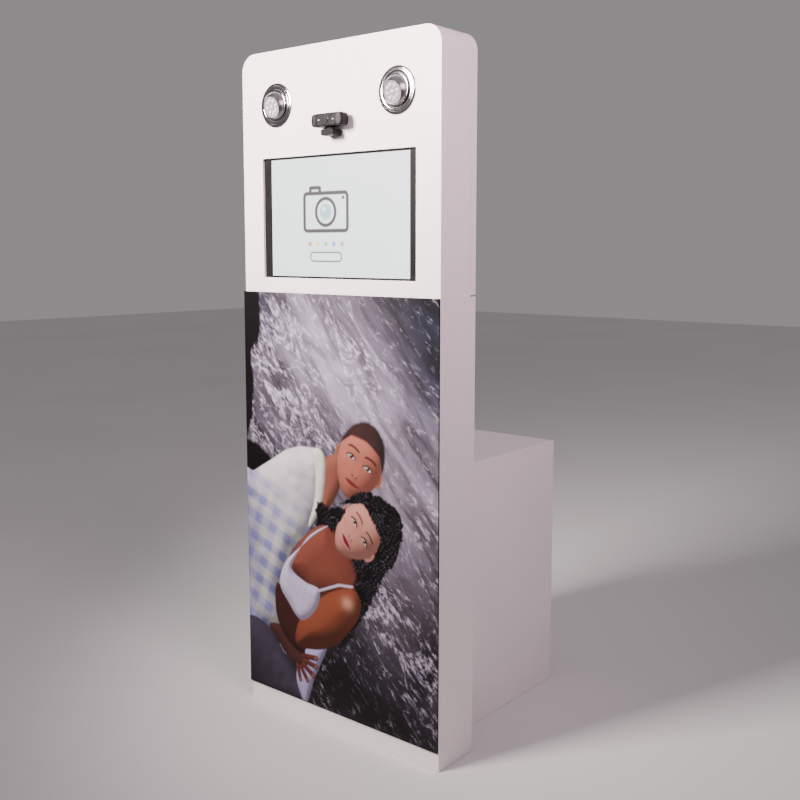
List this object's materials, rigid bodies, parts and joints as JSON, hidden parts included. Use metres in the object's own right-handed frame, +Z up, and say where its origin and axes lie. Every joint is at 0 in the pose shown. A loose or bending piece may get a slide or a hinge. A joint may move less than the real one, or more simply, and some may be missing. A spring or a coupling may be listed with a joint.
{
  "type": "photo booth",
  "caption": "Free-standing photo booth totem with a printed front panel, a head holding swivelling lamps, a webcam and a recessed screen, and a printer cabinet behind.",
  "frame": {"origin": "centre of the column's footprint on the floor", "axes": "+Z up, +X to the right of a person who faces the screen, +Y from the screen to the cabinet behind"},
  "size_m": [0.6265, 0.631, 1.634],
  "materials": {
    "white_laminate": "warm white satin laminate on 15 mm fibreboard",
    "printed_film": "printed film under a satin laminate",
    "zinc_steel": "zinc plated",
    "chrome": "polished",
    "satin_metal": "satin nickel",
    "lamp_plastic": "clear lens over white",
    "black_plastic": "fine moulded texture",
    "gloss_black": "gloss",
    "display": "lit display",
    "grey_plastic": "fine moulded texture",
    "pale_plastic": "moulded",
    "coated_steel": "dark powder coat"
  },
  "bodies": {
    "booth": {"lower_front": "white_laminate", "lower_left_side": "white_laminate", "lower_right_side": "white_laminate", "lower_back": "white_laminate", "lower_base": "white_laminate", "lower_top": "white_laminate", "upper_front": "white_laminate", "upper_left_side": "white_laminate", "upper_right_side": "white_laminate", "upper_back": "white_laminate", "upper_top": "white_laminate", "head_front_panel": "white_laminate", "head_wrap": "white_laminate", "head_bottom_panel": "white_laminate", "cabinet_left_side": "white_laminate", "cabinet_right_side": "white_laminate", "cabinet_top": "white_laminate", "cabinet_bottom": "white_laminate", "cabinet_front_board": "white_laminate", "printer_shelf": "white_laminate", "graphic_panel": "printed_film", "joining_bolts": "zinc_steel", "hinge_fixed_leaves": "zinc_steel", "lock_keepers": "zinc_steel", "monitor_brackets": "zinc_steel", "lamp_springs": "zinc_steel", "left_trim_ring": "chrome", "right_trim_ring": "chrome", "monitor_bezel": "black_plastic", "monitor_back_cover": "black_plastic", "mini_computer": "black_plastic", "webcam_clip": "black_plastic", "power_inlet": "black_plastic", "cable_conduit": "black_plastic", "conduit_saddles": "black_plastic", "webcam_lead": "black_plastic", "monitor_screen": "display", "printer_body": "grey_plastic", "power_strip": "pale_plastic"},
    "head_door": {"head_door": "white_laminate", "head_door_leaves": "zinc_steel", "head_lock_barrel": "chrome"},
    "head_lock": {"head_lock_plug": "chrome"},
    "cabinet_door": {"cabinet_door": "white_laminate", "cabinet_door_leaves": "zinc_steel", "cabinet_lock_barrel": "chrome", "print_pocket": "coated_steel"},
    "cabinet_lock": {"cabinet_lock_plug": "chrome"},
    "left_swivel": {"left_swivel_ring": "chrome"},
    "left_eye": {"left_eyeball": "satin_metal", "left_led_lamp": "lamp_plastic"},
    "right_swivel": {"right_swivel_ring": "chrome"},
    "right_eye": {"right_eyeball": "satin_metal", "right_led_lamp": "lamp_plastic"},
    "webcam": {"webcam_body": "black_plastic", "webcam_front_plate": "gloss_black"},
    "computer_button": {"computer_button": "grey_plastic"},
    "printer_lid": {"printer_lid": "grey_plastic"},
    "printer_button": {"printer_button": "grey_plastic"},
    "power_switch": {"power_switch": "black_plastic"}
  },
  "joints": [
    {"name": "head_door_swing", "type": "hinge", "parent": "booth", "child": "head_door", "pos_m": [-0.3135, 0.0445, 1.35], "axis": [0, 0, 1], "range_deg": [0, 170]},
    {"name": "head_lock_turn", "type": "hinge", "parent": "head_door", "child": "head_lock", "pos_m": [0.258, 0.05, 1.348], "axis": [0, -1, 0], "range_deg": [0, 90]},
    {"name": "cabinet_door_swing", "type": "hinge", "parent": "booth", "child": "cabinet_door", "pos_m": [-0.2195, 0.5305, 0.33], "axis": [0, 0, 1], "range_deg": [0, 170]},
    {"name": "cabinet_lock_turn", "type": "hinge", "parent": "cabinet_door", "child": "cabinet_lock", "pos_m": [0.1835, 0.515, 0.43], "axis": [0, -1, 0], "range_deg": [0, 90]},
    {"name": "left_lamp_swivel", "type": "hinge", "parent": "booth", "child": "left_swivel", "pos_m": [-0.189, -0.058, 1.506], "axis": [0, 1, 0], "range_deg": [-170, 170]},
    {"name": "left_lamp_tilt", "type": "hinge", "parent": "left_swivel", "child": "left_eye", "pos_m": [-0.189, -0.058, 1.506], "axis": [1, 0, 0], "range_deg": [-40, 10]},
    {"name": "right_lamp_swivel", "type": "hinge", "parent": "booth", "child": "right_swivel", "pos_m": [0.189, -0.058, 1.506], "axis": [0, 1, 0], "range_deg": [-170, 170]},
    {"name": "right_lamp_tilt", "type": "hinge", "parent": "right_swivel", "child": "right_eye", "pos_m": [0.189, -0.058, 1.506], "axis": [1, 0, 0], "range_deg": [-40, 10]},
    {"name": "webcam_tilt", "type": "hinge", "parent": "booth", "child": "webcam", "pos_m": [0.006, -0.083, 1.438], "axis": [1, 0, 0], "range_deg": [-10, 12]},
    {"name": "computer_button_press", "type": "slide", "parent": "booth", "child": "computer_button", "axis": [0, -1, 0], "range_m": [0, 0.0015], "stiffness_N_per_m": 300},
    {"name": "printer_lid_lift", "type": "hinge", "parent": "booth", "child": "printer_lid", "pos_m": [0.068, 0.302, 0.496], "axis": [1, 0, 0], "range_deg": [0, 80]},
    {"name": "printer_button_press", "type": "slide", "parent": "booth", "child": "printer_button", "axis": [0, -1, 0], "range_m": [0, 0.0015], "stiffness_N_per_m": 300},
    {"name": "power_switch_rock", "type": "hinge", "parent": "booth", "child": "power_switch", "pos_m": [-0.2355, 0.15, 0.103], "axis": [0, 1, 0], "range_deg": [-14, 0]}
  ]
}
